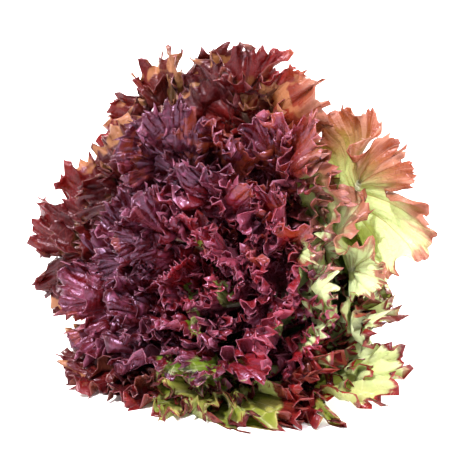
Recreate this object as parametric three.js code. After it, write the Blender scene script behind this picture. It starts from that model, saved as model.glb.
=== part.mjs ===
// A cut head of red batavia lettuce, lying on its side. Millimetres, +Z up, resting on z = 0.
//
// Each leaf is one thin closed solid. The leaves follow one another round the head's axis by the
// golden angle, each on its own shell: shell 1 is the outside of the head and shell 0 its heart.
// A point of a leaf is given by its shell, the distance along the leaf's path from the stem and
// the azimuth round the axis. Shells never meet, so a ruffle that stays within half the way to
// the next shell that shares its azimuth never crosses another leaf.
import * as THREE from "three";

// Driving dimensions of the head
const LEAF_COUNT = 26;
const GOLDEN_ANGLE = THREE.MathUtils.degToRad(137.508);
const FIRST_AZIMUTH = 0.7;
const BUTT = new THREE.Vector3(117.5, 103, 51.5);
const AXIS_SWING = THREE.MathUtils.degToRad(47);
const AXIS_LIFT = THREE.MathUtils.degToRad(10);
const HEART_LENGTH = 114;
const OUTER_EXTRA_LENGTH = 98;
const LENGTH_POWER = 0.38;
// How the shells crowd from the outside to the heart: below 1 there are more of them outside
const SHELL_POWER = 0.8;

// Share of the full spread to which the head opens, by azimuth; its own weight closes it below
const OPENING = { mean: 0.71, upward: 0.12, backward: -0.03, lostBelow: 0.56, below: 8 };
// Length of the leaves round the head, as a share of their mean, by azimuth
const GROWTH = { mean: 1.03, oneSided: 0.26, oneSidedAt: 1.65, oval: 0.05, ovalAt: -1.2 };
// A group of longer leaves that lie on the surface beside the stem
const LONGER = { more: 0.28, at: 3.95, narrow: 6 };
// Degrees between a leaf and the head's axis, in the heart and what the outermost leaf has more
const ROOT_LEAN = { outer: 56, closed: 1.34, opened: -0.42 };
const MIDDLE_LEAN = { heart: 3, outer: 34, closed: 0.2, opened: 0.8 };
const TIP_LEAN = { heart: 4, outer: 112 };
const MIDDLE_AT = 0.35;

// Stem, as radius and height along the axis where the leaves leave it
const HEART_ROOT_RADIUS = 3;
const OUTER_ROOT_EXTRA_RADIUS = 12;
const HEART_ROOT_HEIGHT = 52;
const ROOT_HEIGHT_RANGE = 45;
const STEM_BELOW_LEAVES = 9;
const STEM_CLEARANCE = 1.8;
const STEM_SIDES = 28;

// Leaves
const SLAB_SHARE = 0.88;
const WIDE_LEAVES = 10;
const WIDE_SLAB = 1.2;
const OUTER_HALF_ANGLE = THREE.MathUtils.degToRad(52);
const INNER_HALF_ANGLE = THREE.MathUtils.degToRad(60);
const HEART_HALF_WIDTH = 34;
const OUTER_EXTRA_HALF_WIDTH = 52;
const ROOT_HALF_WIDTH = 10;
const HEART_RUFFLE = 17;
const OUTER_EXTRA_RUFFLE = 9;
const HEART_TOOTH = 4;
const OUTER_EXTRA_TOOTH = 4.5;
// Notches between the lobes of the outer leaves, and lobes for each ruffle
const LOBE_DEPTH = 16;
const LOBE_PACE = 0.45;
const BLADE_HALF_THICKNESS = 0.42;
const MARGIN_THINNING = 0.08;
const BLADE_ROOM = 0.7;
const RIB_EXTRA_HALF_THICKNESS = 1.1;
const RIB_HALF_WIDTH = 0.8;
const RIB_EXTRA_HALF_WIDTH = 2.2;
const AZIMUTH_DRAW = THREE.MathUtils.degToRad(2);
const LENGTH_DRAW = [0.92, 1.06];
const WIDTH_DRAW = [0.93, 1.07];
const LEAST_RADIUS = 9;

// Ruffles: where they start along the leaf and from the midrib, and how deep each wave is
const RUFFLES_ALONG = [0.12, 0.4];
const RUFFLES_FROM_RIB = 0.28;
const RUFFLES_FROM_RIB_SWING = 0.13;
const RUFFLE_WAVES = { main: 0.95, slow: 0.3, frill: 0.35 };
// Height along the rib at which a vein to the margin starts, as a share of the height where it ends
const VEIN_START = 0.58;
const VEIN_START_RISE = 0.24;

// The surface that the head lies on
const FLOOR_SOFTNESS = 5;
const FLOOR_SINK = 2.5;
const LEVEL_RISE = 28;

// Slow bends of the whole head: each moves one axis by a sine of its size along another axis
const BENDS = [
  { moves: "x", along: "z", size: 5, length: 38, phase: 1 },
  { moves: "x", along: "y", size: 3, length: 31, phase: 0 },
  { moves: "y", along: "x", size: 5, length: 41, phase: 0.4 },
  { moves: "y", along: "z", size: 4, length: 33, phase: 2 },
  { moves: "z", along: "y", size: 5, length: 36, phase: -1.5 },
  { moves: "z", along: "x", size: 4, length: 29, phase: -2.3 },
];

// Mesh of a leaf: rings from the midrib to the margin, and columns along the margin
const OUTER_RINGS = [0, 0.34, 0.6, 0.82, 1];
const INNER_RINGS = [0, 0.38, 0.72, 1];
const FINE_RING_LEAVES = 6;
const RUFFLED_SHARE = 0.74;
const ROOT_COLUMNS = [0.84, 0.92, 1];
const PATH_STEPS = 24;

const AXIS = new THREE.Vector3(
  -Math.cos(AXIS_SWING) * Math.cos(AXIS_LIFT),
  -Math.sin(AXIS_SWING) * Math.cos(AXIS_LIFT),
  Math.sin(AXIS_LIFT),
);
const UP = new THREE.Vector3(0, 0, 1).addScaledVector(AXIS, -AXIS.z).normalize();
const BACK = new THREE.Vector3().crossVectors(AXIS, UP);

function ramp(low, high, x) {
  const t = Math.min(1, Math.max(0, (x - low) / (high - low)));
  return t * t * (3 - 2 * t);
}

// A small seeded generator of numbers from 0 to 1
class Draw {
  constructor(seed) {
    this.state = seed >>> 0;
  }

  next() {
    this.state = (Math.imul(this.state, 1664525) + 1013904223) >>> 0;
    return this.state / 4294967296;
  }

  between(low, high) {
    return low + (high - low) * this.next();
  }
}

// How far the head opens at an azimuth: 0 is up and a quarter turn is along BACK
function opening(azimuth) {
  const { mean, upward, backward, lostBelow, below } = OPENING;
  const floorward = ((1 - Math.cos(azimuth)) / 2) ** below;
  return mean + upward * Math.cos(azimuth) + backward * Math.sin(azimuth) - lostBelow * floorward;
}

function pathLength(shell, azimuth) {
  const { mean, oneSided, oneSidedAt, oval, ovalAt } = GROWTH;
  const around = oneSided * Math.cos(azimuth - oneSidedAt) + oval * Math.cos(2 * azimuth - ovalAt);
  const grown = mean + around + LONGER.more * Math.exp(LONGER.narrow * (Math.cos(azimuth - LONGER.at) - 1));
  return (HEART_LENGTH + OUTER_EXTRA_LENGTH * shell ** LENGTH_POWER) * (1 + shell * (grown - 1));
}

// Angle between a leaf's path and the head's axis, at a share of the path's length
function lean(share, shell, azimuth) {
  const open = opening(azimuth);
  const rootSpread = ROOT_LEAN.closed + ROOT_LEAN.opened * open;
  const middleSpread = MIDDLE_LEAN.closed + MIDDLE_LEAN.opened * open;
  const root = ROOT_LEAN.outer * shell ** 0.7 * rootSpread;
  const middle = MIDDLE_LEAN.heart + MIDDLE_LEAN.outer * shell * middleSpread;
  const tip = TIP_LEAN.heart + TIP_LEAN.outer * shell ** 0.9 * open;
  const beyond = Math.min(1.5, Math.max(0, (share - MIDDLE_AT) / (1 - MIDDLE_AT))) ** 1.3;
  const below = root + (middle - root) * ramp(0, MIDDLE_AT, share);
  return THREE.MathUtils.degToRad(below + (tip - middle) * beyond);
}

// Radius from the axis, height along it and lean of the point a distance along a shell's path
function pathPoint(shell, along, azimuth) {
  const s = Math.max(shell, 0.001);
  const length = pathLength(s, azimuth);
  let radius = HEART_ROOT_RADIUS + OUTER_ROOT_EXTRA_RADIUS * Math.sqrt(s);
  let height = HEART_ROOT_HEIGHT - ROOT_HEIGHT_RANGE * s ** 0.9;
  const step = along / PATH_STEPS;
  let angle = 0;
  for (let i = 0; i < PATH_STEPS; i++) {
    angle = lean(((i + 0.5) * step) / length, s, azimuth);
    radius += Math.sin(angle) * step;
    height += Math.cos(angle) * step;
  }
  return { radius, height, angle };
}

// Millimetres between neighbouring shells, square to them, for each unit of shell
function shellSpread(shell, along, azimuth) {
  const s = Math.max(shell, 0.02);
  const outer = pathPoint(s + 0.01, along, azimuth);
  const inner = pathPoint(s - 0.01, along, azimuth);
  const across = (outer.radius - inner.radius) * Math.cos(outer.angle);
  const ahead = (outer.height - inner.height) * Math.sin(outer.angle);
  return Math.abs(across - ahead) / 0.02;
}

// The slow waves that all leaves near one place share, in shells
function sharedWave(shell, along, azimuth) {
  const share = along / pathLength(Math.max(shell, 0.001), azimuth);
  const turn = 11 * shell;
  const wide = 0.6 * Math.sin(13 * azimuth + turn + 6 * share);
  const narrow = 0.4 * Math.sin(21 * azimuth - 0.8 * turn + 9 * share + 2);
  return 0.052 * ramp(0.5, 1, share) * (wide + narrow) * Math.min(1, shell / 0.3);
}

// Bends the ideal head a little and lays its underside on the surface, inner leaves over outer ones
function settle(p, shell) {
  const level = LEVEL_RISE * (1 - shell);
  const from = p.clone();
  for (const { moves, along, size, length, phase } of BENDS) {
    p[moves] += size * Math.sin(from[along] / length + phase);
  }
  const pressed = FLOOR_SOFTNESS * Math.log1p(Math.exp((p.z - level) / FLOOR_SOFTNESS));
  p.z = level + pressed - FLOOR_SINK;
  return p;
}

function aroundAxis(radius, height, azimuth) {
  return BUTT.clone()
    .addScaledVector(UP, radius * Math.cos(azimuth))
    .addScaledVector(BACK, radius * Math.sin(azimuth))
    .addScaledVector(AXIS, height);
}

function place(shell, along, azimuth) {
  const waved = shell + sharedWave(shell, along, azimuth);
  const { radius, height } = pathPoint(waved, along, azimuth);
  return settle(aroundAxis(radius, height, azimuth), shell);
}

// Shell of the leaf with a place in the order from the outside in, which may lie between leaves
function shellAt(order) {
  if (order <= 0) return 1 - (SHELL_POWER * order) / LEAF_COUNT;
  return Math.max(0, 1 - order / LEAF_COUNT) ** SHELL_POWER;
}

function leafTraits(k) {
  const draw = new Draw(7919 * (k + 1));
  draw.next();
  draw.next();
  draw.next();
  const shell = shellAt(k + 0.5);
  const step = (shellAt(k - 1.5) - shellAt(Math.min(k + 2.5, LEAF_COUNT - 0.01))) / 4;
  const azimuth = k * GOLDEN_ANGLE + FIRST_AZIMUTH;
  return {
    shell,
    slab: SLAB_SHARE * step * (k < WIDE_LEAVES ? WIDE_SLAB : 1),
    halfAngle: k < WIDE_LEAVES + 2 ? OUTER_HALF_ANGLE : INNER_HALF_ANGLE,
    azimuth: azimuth + draw.between(-AZIMUTH_DRAW, AZIMUTH_DRAW),
    length: pathLength(shell, azimuth) * draw.between(...LENGTH_DRAW),
    halfWidth: (HEART_HALF_WIDTH + OUTER_EXTRA_HALF_WIDTH * shell ** 0.8) * draw.between(...WIDTH_DRAW),
    ruffle: HEART_RUFFLE + OUTER_EXTRA_RUFFLE * shell,
    phase: draw.between(0, 2 * Math.PI),
    second: draw.between(0, 2 * Math.PI),
    third: draw.between(0, 2 * Math.PI),
    rings: k < FINE_RING_LEAVES ? OUTER_RINGS : INNER_RINGS,
  };
}

// Margin of a leaf laid flat, without its ruffles: c runs from 0 at the tip to 1 at the root
function margin(leaf, c) {
  const height = (leaf.length * (1 + Math.cos(Math.PI * c))) / 2;
  const bulge = Math.max(Math.sin(Math.PI * c ** 0.8), 0) ** 0.85;
  const half = leaf.halfWidth * bulge + ROOT_HALF_WIDTH * c ** 3 + 1e-6;
  const radius = Math.max(pathPoint(leaf.shell, height, leaf.azimuth).radius, LEAST_RADIUS);
  const most = leaf.halfAngle * radius;
  return { half: (half ** -4 + most ** -4) ** -0.25, height };
}

// Length of the margin on one side, and c at a share of it
function marginMeasure(leaf) {
  const steps = 240;
  const cs = Array.from({ length: steps + 1 }, (_, i) => (i / steps) ** 1.5);
  const points = cs.map((c) => margin(leaf, c));
  const run = [0];
  for (let i = 1; i <= steps; i++) {
    const wide = points[i].half - points[i - 1].half;
    const high = points[i].height - points[i - 1].height;
    run.push(run[i - 1] + Math.hypot(wide, high));
  }
  const total = run[steps];
  const atShare = (share) => {
    const goal = share * total;
    let i = 1;
    while (i < steps && run[i] < goal) i++;
    const part = (goal - run[i - 1]) / (run[i] - run[i - 1]);
    return cs[i - 1] + (cs[i] - cs[i - 1]) * Math.min(1, Math.max(0, part));
  };
  return { total, atShare };
}

// Phase of the ruffles, q from -1 at the root on the left over 0 at the tip to 1 on the right
function rufflePhase(leaf, waves, q) {
  const even = Math.PI * waves * q + leaf.phase;
  return even + 0.7 * Math.sin(4.3 * q + leaf.third) + 0.5 * Math.sin(9.1 * q + leaf.second);
}

// Places of the crests and troughs on one side of a leaf, from the tip down
function ruffleColumns(leaf, waves, side, count) {
  const turns = (u) => (side * rufflePhase(leaf, waves, side * u)) / Math.PI - 0.5;
  const first = Math.floor(turns(0)) + 1;
  return Array.from({ length: count }, (_, j) => {
    let low = 0;
    let high = 1.2;
    for (let i = 0; i < 40; i++) {
      const middle = (low + high) / 2;
      if (turns(middle) < first + j) low = middle;
      else high = middle;
    }
    return side * low;
  });
}

function leafColumns(leaf, waves) {
  const count = Math.round(waves * RUFFLED_SHARE);
  const left = ruffleColumns(leaf, waves, -1, count).reverse();
  const right = ruffleColumns(leaf, waves, 1, count);
  const roots = ROOT_COLUMNS.slice();
  return [...roots.map((u) => -u).reverse(), ...left, ...right, ...roots];
}

// Middle surface of a leaf with half its thickness at each point, in rows from midrib to margin
function leafSheet(leaf) {
  const { total, atShare } = marginMeasure(leaf);
  const waves = Math.max(8, Math.round((2 * total) / leaf.ruffle));
  const columns = leafColumns(leaf, waves);
  return leaf.rings.map((a) =>
    columns.map((q) => {
      const c = atShare(Math.abs(q));
      const edge = margin(leaf, c);
      const foot = edge.height * (VEIN_START + VEIN_START_RISE * (1 - c));
      const rise = edge.height - foot;
      const span = Math.hypot(edge.half, rise) + 1e-6;
      const upLeaf = 1 - edge.height / leaf.length;
      const rib = (RIB_HALF_WIDTH + RIB_EXTRA_HALF_WIDTH * upLeaf) * (1 - a);
      const phase = rufflePhase(leaf, waves, q);
      const crest = Math.sin(phase);
      const awake = ramp(...RUFFLES_ALONG, edge.height / leaf.length);
      const start = RUFFLES_FROM_RIB + RUFFLES_FROM_RIB_SWING * Math.sin(5 * q + leaf.second);
      const ruffled = Math.max(0, (a - start) / (1 - start)) ** 1.15 * awake;
      const tooth = (1 - Math.abs(Math.cos(phase)) ** 0.6) * awake;
      const toothLength = (HEART_TOOTH + OUTER_EXTRA_TOOTH * leaf.shell) * tooth * a ** 6;
      const notch = Math.max(0, Math.sin(LOBE_PACE * phase + leaf.second)) ** 2;
      const notchDepth = LOBE_DEPTH * leaf.shell * awake * notch * a ** 2;
      const reach = a + (toothLength + 2 * crest * ruffled ** 2 - notchDepth) / span;
      const across = Math.sign(q) * (rib + edge.half * reach);
      const along = foot + rise * reach;
      const swell = 0.72 + 0.28 * Math.sin(7.3 * q + 1.7 * leaf.third);
      const frill = RUFFLE_WAVES.frill * Math.max(0, (a - 0.55) / 0.45) * Math.sin(3 * phase + leaf.second);
      const slow = RUFFLE_WAVES.slow * Math.sin(0.61 * phase + 2 * leaf.third);
      const wave = ruffled * (RUFFLE_WAVES.main * crest * swell + slow + frill);
      const bounded = wave / (1 + wave ** 4) ** 0.25;
      const spread = shellSpread(leaf.shell, along, leaf.azimuth);
      const room = Math.max(0, leaf.slab - BLADE_ROOM / spread);
      const radius = Math.max(pathPoint(leaf.shell, along, leaf.azimuth).radius, LEAST_RADIUS);
      const point = place(leaf.shell + room * bounded, along, leaf.azimuth + across / radius);
      const ribThickness = RIB_EXTRA_HALF_THICKNESS * upLeaf ** 1.2 * (0.4 + 0.6 * leaf.shell);
      point.half = BLADE_HALF_THICKNESS + (a === 0 ? ribThickness : 0) - (a === 1 ? MARGIN_THINNING : 0);
      return point;
    }),
  );
}

// Quads of the sheet: bands between rings, and the rib between the two halves of the first ring
function sheetQuads(rings, columns) {
  const at = (ring, column) => ring * columns + column;
  const quads = [];
  for (let i = 0; i + 1 < rings; i++) {
    for (let j = 0; j + 1 < columns; j++) {
      quads.push([at(i, j), at(i + 1, j), at(i + 1, j + 1), at(i, j + 1)]);
    }
  }
  for (let j = 0; j < columns / 2 - 1; j++) {
    quads.push([at(0, j), at(0, j + 1), at(0, columns - 2 - j), at(0, columns - 1 - j)]);
  }
  return quads;
}

// Directed edges that only one triangle has
function openEdges(triangles) {
  const edges = new Map();
  for (const [a, b, c] of triangles) {
    for (const [from, to] of [[a, b], [b, c], [c, a]]) {
      if (edges.has(to + "/" + from)) edges.delete(to + "/" + from);
      else edges.set(from + "/" + to, [from, to]);
    }
  }
  return [...edges.values()];
}

// Offset at each point that keeps both faces a half thickness away from the middle surface
function offsets(points, triangles) {
  const normals = points.map(() => new THREE.Vector3());
  const faces = triangles.map((corners) => {
    const [a, b, c] = corners.map((i) => points[i]);
    const face = new THREE.Triangle(a, b, c).getNormal(new THREE.Vector3());
    corners.forEach((i, n) => {
      const one = points[corners[(n + 1) % 3]].clone().sub(points[i]);
      const two = points[corners[(n + 2) % 3]].clone().sub(points[i]);
      normals[i].addScaledVector(face, one.angleTo(two));
    });
    return face;
  });
  normals.forEach((n) => n.normalize());
  const least = points.map(() => 1);
  triangles.forEach((corners, t) => {
    for (const i of corners) least[i] = Math.min(least[i], normals[i].dot(faces[t]));
  });
  return normals.map((n, i) => n.multiplyScalar(points[i].half / Math.max(0.6, least[i])));
}

function thicken(sheet) {
  const columns = sheet[0].length;
  const points = sheet.flat();
  const triangles = [];
  for (const [a, b, c, d] of sheetQuads(sheet.length, columns)) {
    if (points[a].distanceTo(points[c]) <= points[b].distanceTo(points[d])) {
      triangles.push([a, b, c], [a, c, d]);
    } else {
      triangles.push([a, b, d], [b, c, d]);
    }
  }
  const offset = offsets(points, triangles);
  const front = points.map((p, i) => p.clone().add(offset[i]));
  const rear = points.map((p, i) => p.clone().sub(offset[i]));
  front.forEach((p, i) => {
    const lift = Math.max(0, -Math.min(p.z, rear[i].z));
    p.z += lift;
    rear[i].z += lift;
  });
  const count = points.length;
  const index = [];
  for (const [a, b, c] of triangles) {
    index.push(a, b, c, a + count, c + count, b + count);
  }
  for (const [from, to] of openEdges(triangles)) {
    index.push(to, from, from + count, to, from + count, to + count);
  }
  const geometry = new THREE.BufferGeometry().setFromPoints([...front, ...rear]);
  geometry.setIndex(index);
  geometry.computeVertexNormals();
  return geometry;
}

// Stem: a turned core that follows the leaves' roots, with a cut face at the butt
function stemGeometry() {
  const profile = [
    new THREE.Vector2(0, -STEM_BELOW_LEAVES),
    new THREE.Vector2(OUTER_ROOT_EXTRA_RADIUS - 1, -STEM_BELOW_LEAVES),
    new THREE.Vector2(OUTER_ROOT_EXTRA_RADIUS, 1.5 - STEM_BELOW_LEAVES),
  ];
  for (let i = 0; i <= 6; i++) {
    const shell = (1 - i / 6) ** 2;
    const radius = HEART_ROOT_RADIUS + OUTER_ROOT_EXTRA_RADIUS * Math.sqrt(shell) - STEM_CLEARANCE;
    const height = HEART_ROOT_HEIGHT - ROOT_HEIGHT_RANGE * shell ** 0.9;
    profile.push(new THREE.Vector2(radius, height));
  }
  profile.push(new THREE.Vector2(0, HEART_ROOT_HEIGHT + 3));
  const geometry = new THREE.LatheGeometry(profile, STEM_SIDES);
  const position = geometry.getAttribute("position");
  for (let i = 0; i < position.count; i++) {
    const radius = Math.hypot(position.getX(i), position.getZ(i));
    const azimuth = Math.atan2(position.getX(i), position.getZ(i));
    const p = settle(aroundAxis(radius, position.getY(i), azimuth), 1);
    position.setXYZ(i, p.x, p.y, p.z);
  }
  geometry.computeVertexNormals();
  return geometry;
}

function leafMaterial(shell) {
  const outer = new THREE.Color(0x5a2430);
  const heart = new THREE.Color(0x7c3146);
  return new THREE.MeshStandardMaterial({
    color: heart.lerp(outer, shell),
    roughness: 0.38,
    metalness: 0,
    side: THREE.DoubleSide,
  });
}

function stemMesh() {
  const material = new THREE.MeshStandardMaterial({ color: 0xe6ecc4, roughness: 0.5 });
  const mesh = new THREE.Mesh(stemGeometry(), material);
  mesh.name = "stem";
  return mesh;
}

function leafMesh(k) {
  const leaf = leafTraits(k);
  const mesh = new THREE.Mesh(thicken(leafSheet(leaf)), leafMaterial(leaf.shell));
  mesh.name = "leaf_" + String(k + 1).padStart(2, "0");
  return mesh;
}

const lettuce = new THREE.Group();
lettuce.name = "red_batavia_lettuce";
lettuce.add(stemMesh());
for (let k = 0; k < LEAF_COUNT; k++) lettuce.add(leafMesh(k));

export default lettuce;
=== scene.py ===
import math

import bpy
import numpy as np
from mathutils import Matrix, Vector


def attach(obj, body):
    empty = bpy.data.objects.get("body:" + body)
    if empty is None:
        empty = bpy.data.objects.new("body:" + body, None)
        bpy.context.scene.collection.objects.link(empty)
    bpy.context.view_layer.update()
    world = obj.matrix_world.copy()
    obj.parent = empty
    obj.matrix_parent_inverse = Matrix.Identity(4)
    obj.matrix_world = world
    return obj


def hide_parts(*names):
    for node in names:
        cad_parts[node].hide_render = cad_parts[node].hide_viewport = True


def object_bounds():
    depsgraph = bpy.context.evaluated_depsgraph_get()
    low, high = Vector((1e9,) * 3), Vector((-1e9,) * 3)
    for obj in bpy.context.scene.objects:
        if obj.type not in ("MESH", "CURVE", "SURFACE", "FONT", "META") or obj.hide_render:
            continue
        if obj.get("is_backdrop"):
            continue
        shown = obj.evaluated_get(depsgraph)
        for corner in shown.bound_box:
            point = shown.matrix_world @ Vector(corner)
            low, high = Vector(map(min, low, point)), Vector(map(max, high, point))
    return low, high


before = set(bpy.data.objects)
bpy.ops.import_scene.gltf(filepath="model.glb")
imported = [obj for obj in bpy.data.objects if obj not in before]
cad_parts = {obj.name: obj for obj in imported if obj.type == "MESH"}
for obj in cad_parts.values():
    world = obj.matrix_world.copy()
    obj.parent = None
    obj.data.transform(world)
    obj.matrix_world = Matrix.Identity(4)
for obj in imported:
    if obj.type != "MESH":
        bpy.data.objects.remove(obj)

# A cut head of red batavia lettuce lying on its side. Lengths are millimetres until a mesh is made.
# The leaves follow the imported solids' own form: each has its shell, from 1 outside to 0 in the heart,
# and a point of it is given by its shell, its distance along the leaf's path and its azimuth.
CAD_BOX = [list(corner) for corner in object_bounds()]
MM = 0.001

# Driving dimensions of the head, as in the solids
LEAF_COUNT = 26
OUTER_LEAVES = 10
GOLDEN_ANGLE = math.radians(137.508)
FIRST_AZIMUTH = 0.7
BUTT = np.array([117.5, 103.0, 51.5])
AXIS_SWING = math.radians(47)
AXIS_LIFT = math.radians(10)
HEART_LENGTH = 114
OUTER_EXTRA_LENGTH = 98
OPENING = dict(mean=0.71, upward=0.12, backward=-0.03, lost_below=0.56, below=8)
GROWTH = dict(
    mean=1.03, one_sided=0.26, one_sided_at=1.65, oval=0.05, oval_at=-1.2,
    corner=0.28, corner_at=3.95, narrow=6,
)
ROOT_LEAN = dict(outer=56, closed=1.34, opened=-0.42)
MIDDLE_LEAN = dict(heart=3, outer=34, closed=0.2, opened=0.8)
TIP_LEAN = dict(heart=4, outer=112)
MIDDLE_AT = 0.35
HEART_ROOT_RADIUS = 3
OUTER_ROOT_EXTRA_RADIUS = 12
HEART_ROOT_HEIGHT = 52
ROOT_HEIGHT_RANGE = 45
STEM_BELOW_LEAVES = 9
STEM_CLEARANCE = 1.8
STEM_FOOT_RADIUS = 11
SLAB_SHARE = 0.88
WIDE_SLAB = 1.2
OUTER_HALF_ANGLE = math.radians(52)
INNER_HALF_ANGLE = math.radians(60)
HEART_HALF_WIDTH = 34
OUTER_EXTRA_HALF_WIDTH = 52
ROOT_HALF_WIDTH = 10
HEART_RUFFLE = 17
OUTER_EXTRA_RUFFLE = 9
HEART_TOOTH = 4
OUTER_EXTRA_TOOTH = 4.5
BLADE_ROOM = 0.7
RIB_HALF_WIDTH = 0.8
RIB_EXTRA_HALF_WIDTH = 2.2
AZIMUTH_DRAW = math.radians(2)
LENGTH_DRAW = (0.92, 1.06)
WIDTH_DRAW = (0.93, 1.07)
LEAST_RADIUS = 9
RUFFLES_ALONG = (0.12, 0.4)
VEIN_START = 0.58
VEIN_START_RISE = 0.24
FLOOR_SOFTNESS = 5
FLOOR_SINK = 2.5
LEVEL_RISE = 28
PATH_STEPS = 24
# Slow bends of the whole head: moved axis, axis along which it is bent, size, length and phase
BENDS = (
    (0, 2, 5, 38, 1), (0, 1, 3, 31, 0), (1, 0, 5, 41, 0.4),
    (1, 2, 4, 33, 2), (2, 1, 5, 36, -1.5), (2, 0, 4, 29, -2.3),
)

# The finer form that only the looks need. The margin has grown too long for the leaf, so that its
# direction swings to and fro: waves by pace, greatest swing in radians at the outer leaves and in the
# heart, and reach in from the rim in main wavelengths
SWINGS = (
    dict(pace=0.8, outer=0.55, heart=0.4, reach=1.0),
    dict(pace=1.7, outer=1.5, heart=1.75, reach=0.45),
    dict(pace=3.4, outer=0.7, heart=0.6, reach=0.25),
)
SWING_UNEVEN = 0.35
MOST_SWING = 2.0
# How many waves there are for each one of the solids, how far the folds turn on their way in from the rim,
# and the farthest that the sheet goes from its smooth place
MORE_WAVES = dict(outer=1.25, heart=2.6)
FOLD_BEND = dict(angle=2.2, patch=17)
MOST_ASIDE = dict(outer=9, heart=5)
LEAST_AHEAD = 0.3
# The outer leaves about this azimuth, at the pale side, are less ruffled
CALM_AZIMUTH = math.radians(310)
CALMER = 0.45
LONG_WAVE = dict(depth=1.1, pace=0.42, reach=2.2)
LOBE_DEPTH = 26
LOBE_PACE = 0.45
TOOTH_REACH = 0.36
TOOTH_LENGTHENING = 1.25
# Teeth on the crests and troughs of each of the three waves, as shares of a whole tooth's length
TEETH = (dict(outer=0.8, heart=0.3), dict(outer=0.6, heart=0.8), dict(outer=0.3, heart=0.6))
TOOTH_UNEVEN = 0.35
MOST_TOOTH = 1.15
CURL = dict(depth=4.5, reach=10)
DENT_DEPTH = 0.9
DENT_SIZES = (34, 15)
QUILT_DEPTH = 0.9
BLISTER_DEPTH = 2.8
BLISTER_SIZES = (11, 4)
BLADE_HALF_THICKNESS = 0.27
RIB_DEPTH = 2.6
RIB_REACH = 3.4
FLOOR_GAP = 0.05
# The outermost tips are drawn in a little: axis, side and where that begins
SQUEEZED_BEYOND = ((0, -1, 145), (0, 1, 144), (1, -1, 106), (1, 1, 106), (2, 1, 238))
SQUEEZE = 0.3
VEIN_DEPTH = 0.55
VEIN_SPACING = 16
VEIN_HALF_WIDTH = 1.5
# Leaves whose meshes have the same rings and columns
MESHES = (
    dict(leaves=range(0, 10), rings=8, columns=461),
    dict(leaves=range(10, 20), rings=8, columns=441),
    dict(leaves=range(20, 26), rings=7, columns=401),
)
# More frills on the upper face of the leaves, where the overgrown margin doubles back
FRILLS = (
    dict(leaves=range(0, 26), long=0.92, wide=0.84, lift=5, turn=0.05),
    dict(leaves=range(0, 26), long=0.84, wide=0.68, lift=5, turn=-0.07),
    dict(leaves=range(3, 24), long=0.76, wide=0.54, lift=5, turn=0.02),
)
FRILL_MESH = dict(rings=5, columns=361)
FRILL_FROM = 0.66
FRILL_SIDES = 0.84
FRILL_SUNK = 1.6
# Rows across half of the midrib, as shares of its half width
RIB_ROWS = (0, 0.4, 0.8)
# The last columns each side are wider apart: the share of the columns and of the margin where they begin
ROOT_COLUMNS = {"from": 0.88, "margin_from": 0.8}
MARGIN_STEPS = 241
LEAST_WAVES = 8
LEAST_VEINS = 5
# Less calm leaves than this have frills
MOST_CALM_WITH_FRILLS = 0.5

AXIS = np.array([
    -math.cos(AXIS_SWING) * math.cos(AXIS_LIFT),
    -math.sin(AXIS_SWING) * math.cos(AXIS_LIFT),
    math.sin(AXIS_LIFT),
])
UP = np.array([0, 0, 1]) - AXIS[2] * AXIS
UP = UP / np.linalg.norm(UP)
BACK = np.cross(AXIS, UP)


def ramp(low, high, x):
    t = np.clip((x - low) / (high - low), 0, 1)
    return t * t * (3 - 2 * t)


class Draw:
    """The solids' small seeded generator of numbers from 0 to 1."""

    def __init__(self, seed):
        self.state = seed & 0xFFFFFFFF

    def next(self):
        self.state = (self.state * 1664525 + 1013904223) & 0xFFFFFFFF
        return self.state / 4294967296

    def between(self, low, high):
        return low + (high - low) * self.next()


def opening(azimuth):
    floorward = ((1 - np.cos(azimuth)) / 2) ** OPENING["below"]
    around = OPENING["upward"] * np.cos(azimuth) + OPENING["backward"] * np.sin(azimuth)
    return OPENING["mean"] + around - OPENING["lost_below"] * floorward


def path_length(shell, azimuth):
    one_sided = GROWTH["one_sided"] * np.cos(azimuth - GROWTH["one_sided_at"])
    oval = GROWTH["oval"] * np.cos(2 * azimuth - GROWTH["oval_at"])
    corner = GROWTH["corner"] * np.exp(GROWTH["narrow"] * (np.cos(azimuth - GROWTH["corner_at"]) - 1))
    grown = GROWTH["mean"] + one_sided + oval + corner
    return (HEART_LENGTH + OUTER_EXTRA_LENGTH * shell**0.38) * (1 + shell * (grown - 1))


def lean(share, shell, azimuth):
    """Angle between a leaf's path and the head's axis, at a share of the path's length."""
    opened = opening(azimuth)
    root = ROOT_LEAN["outer"] * shell**0.7 * (ROOT_LEAN["closed"] + ROOT_LEAN["opened"] * opened)
    middle_spread = MIDDLE_LEAN["closed"] + MIDDLE_LEAN["opened"] * opened
    middle = MIDDLE_LEAN["heart"] + MIDDLE_LEAN["outer"] * shell * middle_spread
    tip = TIP_LEAN["heart"] + TIP_LEAN["outer"] * shell**0.9 * opened
    beyond = np.clip((share - MIDDLE_AT) / (1 - MIDDLE_AT), 0, 1.5) ** 1.3
    below = root + (middle - root) * ramp(0, MIDDLE_AT, share)
    return np.radians(below + (tip - middle) * beyond)


def path_point(shell, along, azimuth):
    """Radius from the axis, height along it and lean, a distance along a shell's path."""
    s = np.maximum(shell, 0.001)
    length = path_length(s, azimuth)
    radius = HEART_ROOT_RADIUS + OUTER_ROOT_EXTRA_RADIUS * np.sqrt(s)
    height = HEART_ROOT_HEIGHT - ROOT_HEIGHT_RANGE * s**0.9
    step = along / PATH_STEPS
    angle = 0
    for i in range(PATH_STEPS):
        angle = lean((i + 0.5) * step / length, s, azimuth)
        radius = radius + np.sin(angle) * step
        height = height + np.cos(angle) * step
    return radius, height, angle


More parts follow.
